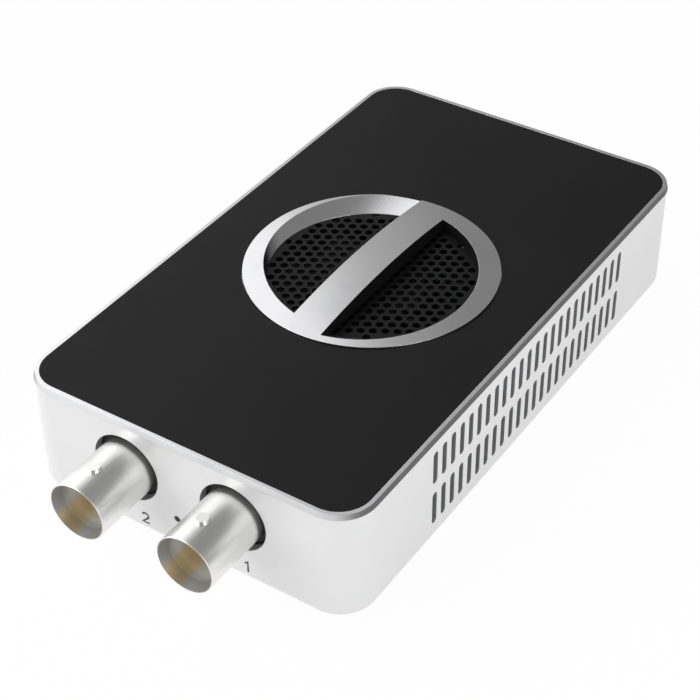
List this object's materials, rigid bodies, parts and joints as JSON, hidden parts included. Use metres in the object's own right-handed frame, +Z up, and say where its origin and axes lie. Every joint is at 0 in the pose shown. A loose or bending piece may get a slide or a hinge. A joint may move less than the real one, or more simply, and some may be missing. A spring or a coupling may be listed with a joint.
{
  "type": "video capture box",
  "caption": "Flat metal box with coaxial video sockets on the front, a domed fan grille on top, side vents, and data and sound sockets on the back.",
  "frame": {"origin": "middle of the whole box at the bottom of the feet", "axes": "+X right seen from the front, +Y from the front sockets to the back, +Z up"},
  "size_m": [0.06, 0.114, 0.0232],
  "materials": {
    "shell_paint": "satin light paint",
    "base_paint": "satin light paint",
    "frame_metal": "polished",
    "panel_black": "satin black",
    "ring_metal": "fine satin",
    "mesh_black": "semi-gloss black",
    "nickel": "bright plating",
    "gold": "bright plating",
    "insulator_white": "waxy",
    "socket_black": "dark plating",
    "board_green": "solder mask",
    "chip_black": "moulded",
    "pad_blue": "soft",
    "sink_dark": "black anodised",
    "ferrite_grey": "pressed powder",
    "can_aluminium": "drawn can",
    "white_plastic": "moulded",
    "light_smoke": "smoked clear",
    "screw_steel": "zinc plated",
    "socket_steel": "tin plated",
    "tongue_blue": "moulded",
    "jack_black": "moulded",
    "rubber_dark": "matte",
    "foam_dark": "foam",
    "fan_black": "moulded",
    "bronze": "sintered",
    "core_steel": "laminated",
    "copper": "enamelled wire",
    "magnet_grey": "bonded magnet",
    "wire_red": "insulation"
  },
  "bodies": {
    "housing": {"body_shell": "shell_paint", "base_cover": "base_paint", "top_frame": "frame_metal", "top_panel": "panel_black", "grille_ring": "ring_metal", "grille_mesh": "mesh_black", "rubber_feet": "rubber_dark", "case_screws": "screw_steel", "main_board": "board_green", "board_screws": "screw_steel", "video_processor": "chip_black", "thermal_pad": "pad_blue", "heat_sink": "sink_dark", "heat_sink_pins": "white_plastic", "memory_chips": "chip_black", "support_chips": "chip_black", "power_inductors": "ferrite_grey", "filter_capacitors": "can_aluminium", "status_led": "white_plastic", "light_pipe": "light_smoke", "input_block": "socket_black", "input_barrel": "nickel", "input_insulator": "insulator_white", "input_contact": "gold", "loop_block": "socket_black", "loop_barrel": "nickel", "loop_insulator": "insulator_white", "loop_contact": "gold", "usb_shell": "socket_steel", "usb_tongue": "tongue_blue", "usb_contacts": "gold", "headphone_jack": "jack_black", "microphone_jack": "jack_black", "jack_contacts": "socket_steel", "fan_gasket": "foam_dark", "fan_frame": "fan_black", "fan_screws": "screw_steel", "fan_bearing": "bronze", "fan_driver_board": "board_green", "fan_stator": "core_steel", "fan_coils": "copper", "fan_header": "white_plastic", "fan_lead": "wire_red"},
    "fan": {"fan_rotor": "fan_black", "fan_magnet": "magnet_grey", "fan_shaft": "screw_steel"}
  },
  "joints": [
    {"name": "fan_spin", "type": "hinge", "parent": "housing", "child": "fan", "pos_m": [0, 0.00558, 0.014], "axis": [0, 0, 1], "continuous": true}
  ]
}
